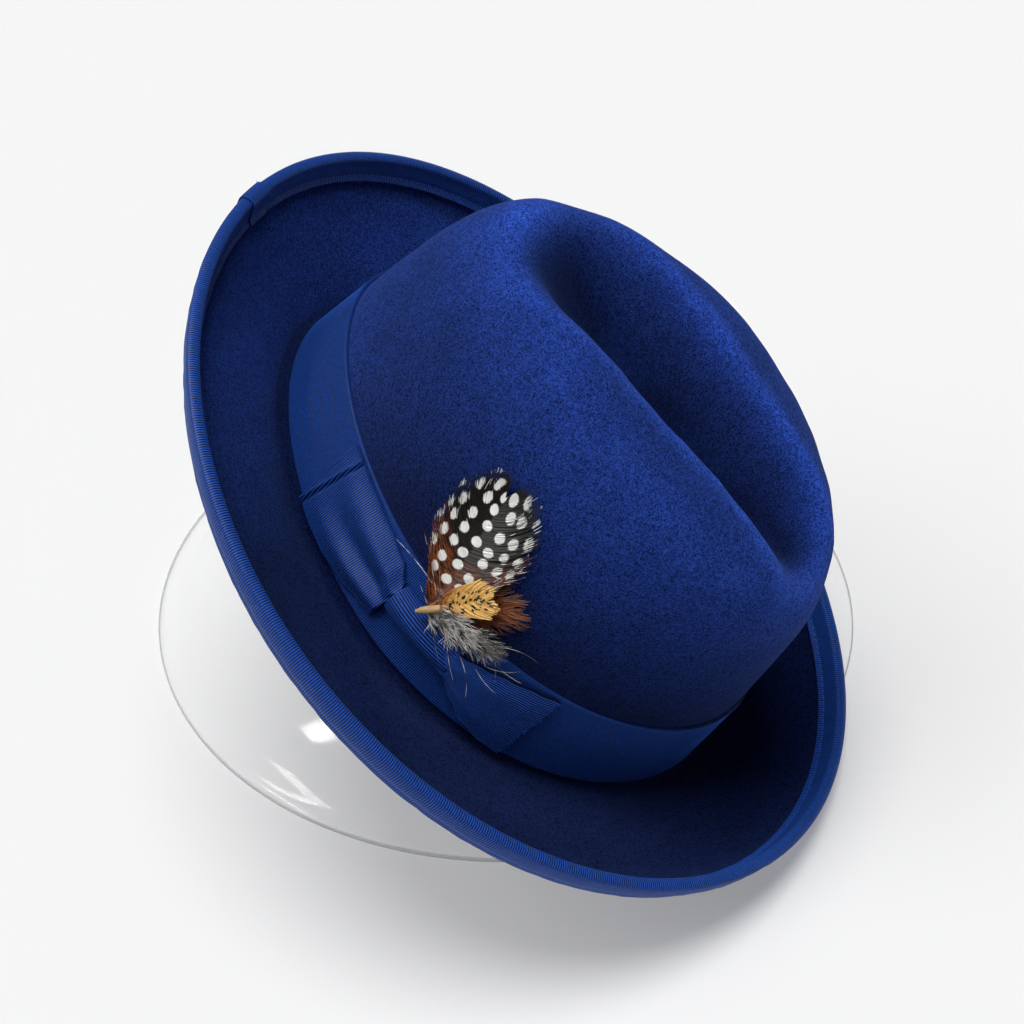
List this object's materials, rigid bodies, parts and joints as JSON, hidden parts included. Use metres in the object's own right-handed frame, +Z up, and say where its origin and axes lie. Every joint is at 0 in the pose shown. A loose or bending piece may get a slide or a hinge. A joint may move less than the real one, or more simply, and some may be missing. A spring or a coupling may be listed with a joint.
{
  "type": "felt hat on a display stand",
  "caption": "Blue felt fedora with a dented crown, ribbon band, side bow and feather spray, leaning on a round clear stand.",
  "frame": {"origin": "on the floor under the middle of the whole thing's box", "axes": "+Z up; -Y towards the hat's raised front, +X towards the wearer's left side with the bow; the back of the brim is low at +Y"},
  "size_m": [0.3246, 0.3152, 0.2198],
  "materials": {
    "felt": "matt brushed wool felt with a short nap",
    "ribbon": "fine ribbed grosgrain with a soft sheen",
    "rust_vane": "soft rust-brown feather barbs",
    "black_vane": "black feather barbs with white oval spots",
    "amber_vane": "amber feather barbs with dark marks",
    "grey_down": "loose grey and white down",
    "quill": "bare tan horn of the quills",
    "clear_plastic": "polished clear plastic shell"
  },
  "bodies": {
    "root": {"felt_body": "felt", "brim_binding": "ribbon", "hat_band": "ribbon", "bow_front_wing": "ribbon", "bow_back_wing": "ribbon", "bow_knot": "ribbon", "rust_feather": "rust_vane", "spotted_feather": "black_vane", "amber_feather": "amber_vane", "grey_feather": "grey_down", "quill_stub": "quill", "display_stand": "clear_plastic"}
  },
  "joints": []
}
